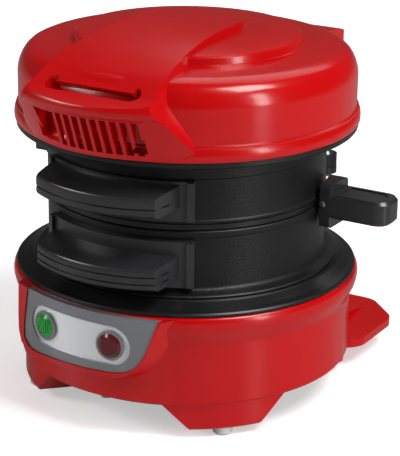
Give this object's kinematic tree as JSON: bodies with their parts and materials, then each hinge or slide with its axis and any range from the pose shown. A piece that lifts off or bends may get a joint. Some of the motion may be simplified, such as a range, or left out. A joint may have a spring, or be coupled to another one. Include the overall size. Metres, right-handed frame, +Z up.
{
  "type": "breakfast sandwich maker",
  "caption": "Round electric sandwich maker: heated base, stacked cooking rings with a swinging plate between them, hinged heating lid and front lift handles.",
  "frame": {"origin": "centre of the base, on the surface it stands on", "axes": "+Z up, -Y to the front with the lift handles and the control panel, +X to the side of the cooking plate's handle, +Y to the hinge"},
  "size_m": [0.186, 0.1997, 0.1786],
  "materials": {
    "red_plastic": "glossy deep red moulded plastic",
    "black_plastic": "satin black moulded plastic",
    "panel_grey": "metallic grey plastic",
    "dark_metal": "black non-stick coating on cast metal",
    "steel": "plain steel",
    "element_steel": "heater tube, oxidised steel",
    "green_lens": "clear green lens",
    "red_lens": "clear red lens",
    "lamp_glass": "small glass lamp",
    "ceramic": "pale ceramic or heat-proof plastic",
    "wire": "insulated wire",
    "foot_rubber": "pale grey rubber"
  },
  "bodies": {
    "base": {"base_housing": "red_plastic", "base_cover": "black_plastic", "base_feet": "foot_rubber", "control_panel": "panel_grey", "green_lens": "green_lens", "red_lens": "red_lens", "neon_lamps": "lamp_glass", "bottom_plate": "dark_metal", "bottom_element": "element_steel", "bottom_reflector": "steel", "bottom_thermostat": "ceramic", "thermal_fuse": "ceramic", "terminal_block": "ceramic", "base_wiring": "wire", "cord_gland": "black_plastic", "cord_wrap": "red_plastic", "cover_screws": "steel", "plate_screws": "steel", "wrap_screws": "steel", "hinge_tower": "red_plastic", "hinge_bracket": "black_plastic", "tower_screws": "steel", "hinge_pin": "steel", "pin_clips": "steel"},
    "lid": {"lid_shell": "red_plastic", "lid_handle": "red_plastic", "top_plate": "dark_metal", "top_element": "element_steel", "top_reflector": "steel", "top_thermostat": "ceramic", "lid_hinge_arms": "steel", "lid_screws": "steel"},
    "upper_ring": {"top_ring": "dark_metal", "top_ring_handle": "black_plastic", "top_handle_screws": "steel", "ring_lug": "black_plastic", "pivot_pin": "steel"},
    "swing_plate": {"cooking_plate": "dark_metal", "plate_handle": "black_plastic", "handle_pin": "steel"},
    "lower_ring": {"bottom_ring": "dark_metal", "bottom_ring_handle": "black_plastic", "bottom_handle_screws": "steel"}
  },
  "joints": [
    {"name": "lid_hinge", "type": "hinge", "parent": "base", "child": "lid", "pos_m": [0, 0.094, 0.124], "axis": [-1, 0, 0], "range_deg": [0, 105]},
    {"name": "upper_ring_hinge", "type": "hinge", "parent": "base", "child": "upper_ring", "pos_m": [0, 0.094, 0.124], "axis": [-1, 0, 0], "range_deg": [0, 84]},
    {"name": "lower_ring_hinge", "type": "hinge", "parent": "base", "child": "lower_ring", "pos_m": [0, 0.094, 0.124], "axis": [-1, 0, 0], "range_deg": [0, 47.25]},
    {"name": "plate_swing", "type": "hinge", "parent": "upper_ring", "child": "swing_plate", "pos_m": [0.045, 0.0575, 0.098], "axis": [0, 0, 1], "range_deg": [0, 110]}
  ],
  "couplings": [
    {"joint": "upper_ring_hinge", "follows": "lid_hinge", "ratio": 0.8},
    {"joint": "lower_ring_hinge", "follows": "lid_hinge", "ratio": 0.45}
  ]
}
